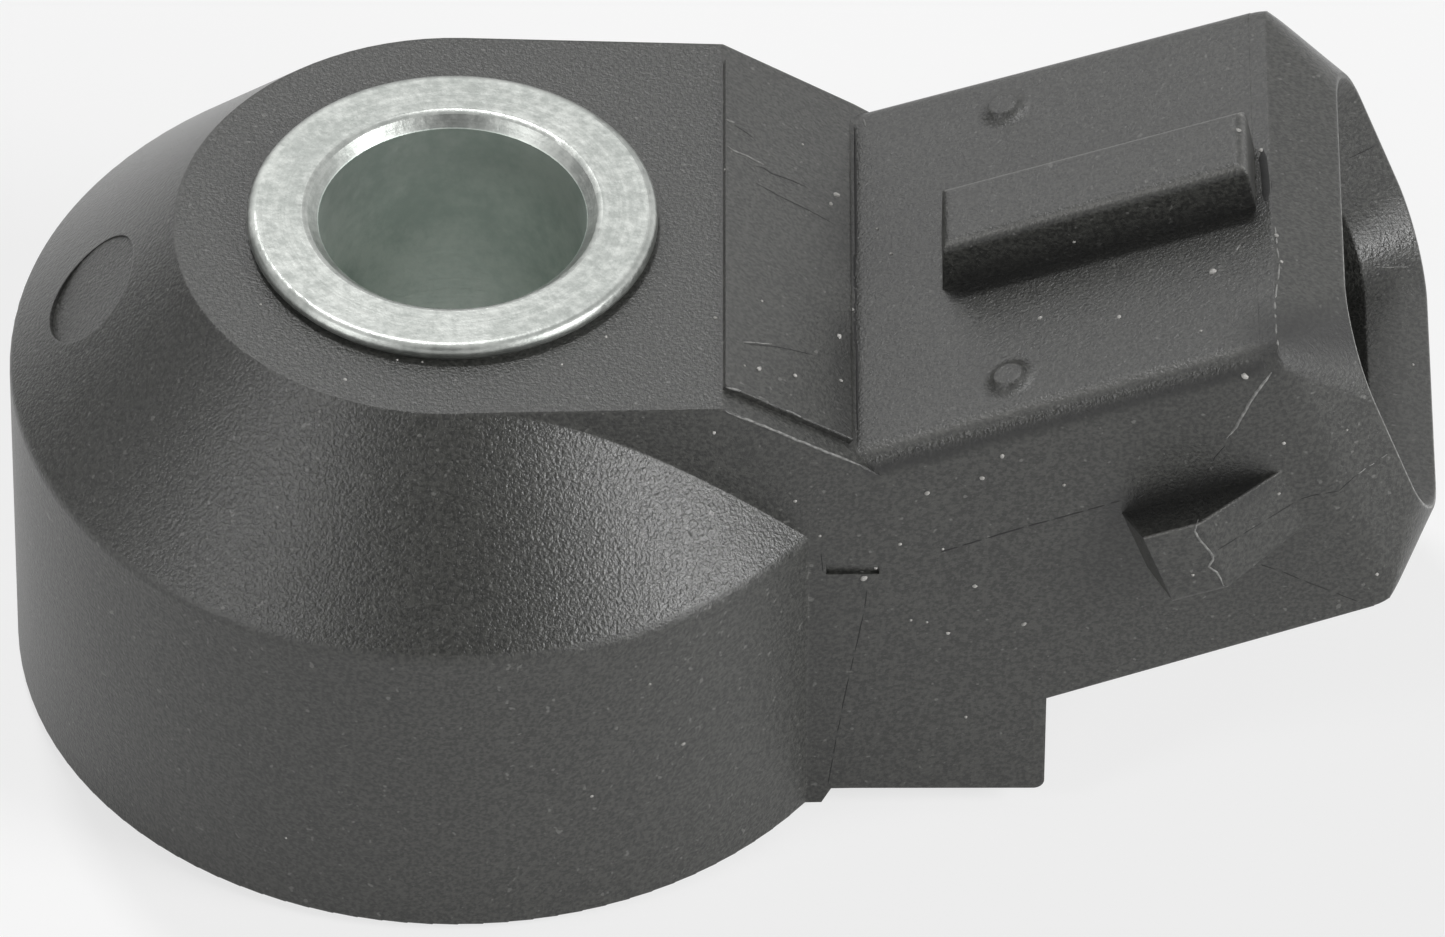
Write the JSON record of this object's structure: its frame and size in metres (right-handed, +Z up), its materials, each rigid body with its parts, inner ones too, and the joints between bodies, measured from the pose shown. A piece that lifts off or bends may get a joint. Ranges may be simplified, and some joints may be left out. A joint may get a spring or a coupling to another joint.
{
  "type": "engine knock sensor",
  "caption": "Engine knock sensor: steel screw sleeve in a round conical plastic body, with a neck to a tilted plug socket that has a coding rib and latch wedges.",
  "frame": {"origin": "on the axis of the screw bore, in the steel face that is clamped to the engine", "axes": "+Z up the screw bore towards the screw's head, +X towards the side of the plug socket, +Y across"},
  "size_m": [0.0447, 0.0278, 0.021],
  "materials": {
    "nylon": "fine spark-eroded grain, slightly satin",
    "zinc_plated_steel": "bright zinc plating, lightly mottled",
    "insulation": "amber film",
    "contact_brass": "rolled strip",
    "piezo_ceramic": "fired, with silvered faces",
    "mass_steel": "turned",
    "spring_steel": "blued",
    "tinned_brass": "dull tin plating"
  },
  "bodies": {
    "root": {"housing": "nylon", "pressure_sleeve": "zinc_plated_steel", "insulating_tube": "insulation", "lower_insulating_disc": "insulation", "lower_contact_disc": "contact_brass", "piezo_ring": "piezo_ceramic", "upper_contact_disc": "contact_brass", "upper_insulating_disc": "insulation", "seismic_mass": "mass_steel", "spring_washer": "spring_steel", "ring_nut": "mass_steel", "left_terminal": "tinned_brass", "right_terminal": "tinned_brass"}
  },
  "joints": []
}
